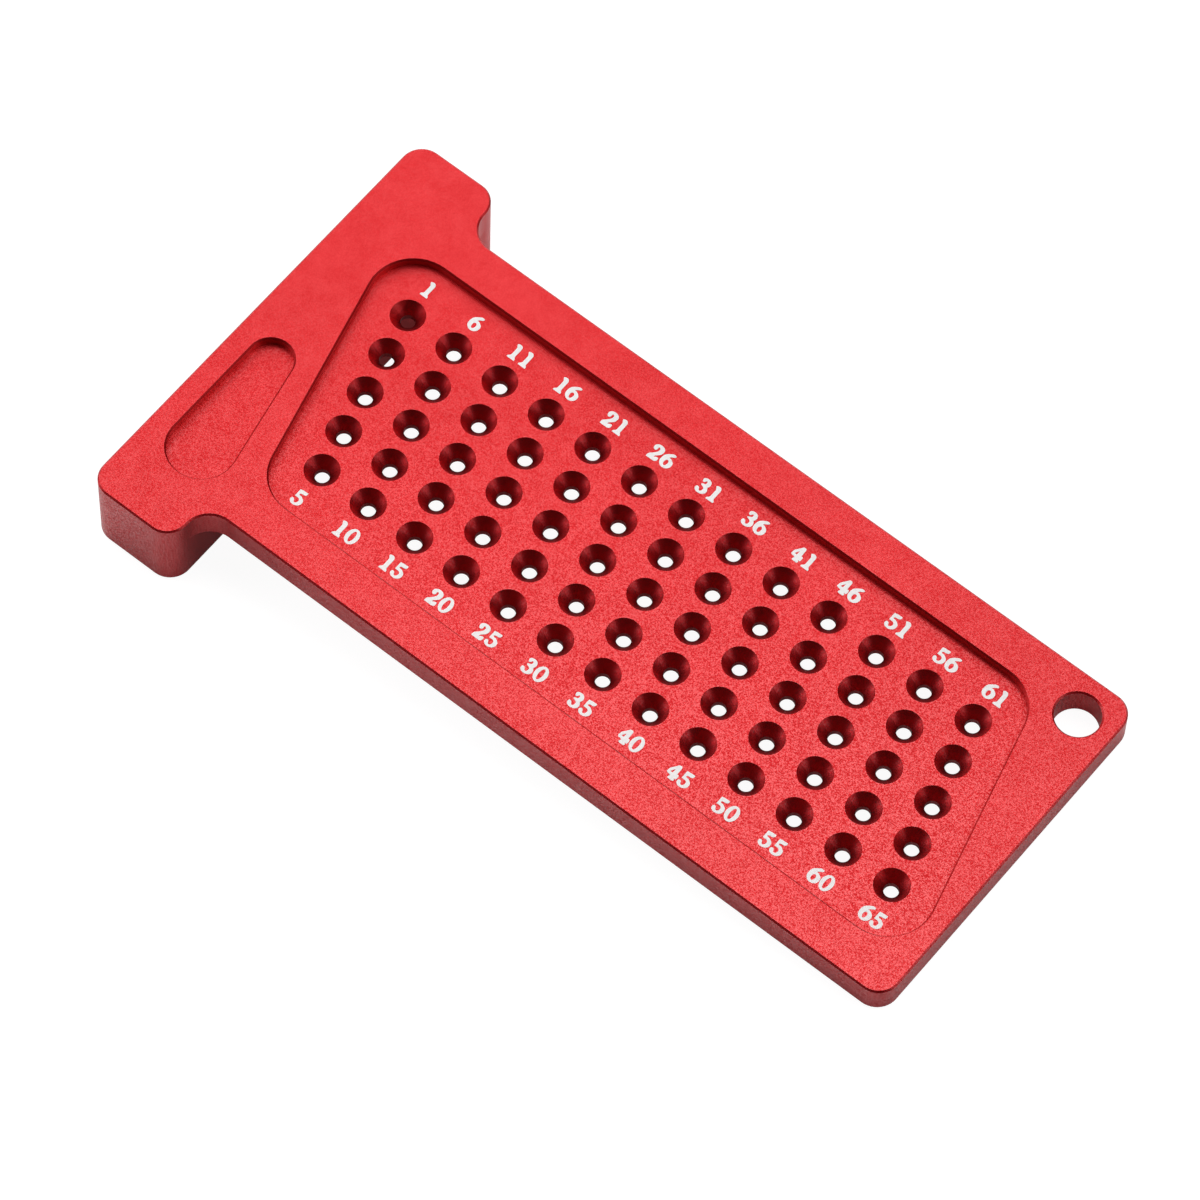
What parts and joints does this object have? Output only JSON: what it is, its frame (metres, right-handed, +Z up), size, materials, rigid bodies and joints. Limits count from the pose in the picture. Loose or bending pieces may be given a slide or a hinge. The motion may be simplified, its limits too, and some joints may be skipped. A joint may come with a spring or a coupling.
{
  "type": "scribing ruler",
  "caption": "Small T-shaped scribing ruler with a drop fence and a blade of numbered pencil holes, each one millimetre further from the fence.",
  "frame": {"origin": "middle of the fence's working face, halfway between the fence's foot and the underside of the blade", "axes": "+X out of the fence's working face along the blade, +Z up through the blade, +Y along the fence towards the hanging hole's side"},
  "size_m": [0.08, 0.043, 0.008],
  "materials": {
    "red_anodised": "bead-blasted aluminium, dyed red by anodising, slightly rough and matt",
    "white_marks": "thin white printed ink, matt, used for the numbers on the panel"
  },
  "bodies": {
    "root": {"ruler_body": "red_anodised"}
  },
  "joints": []
}
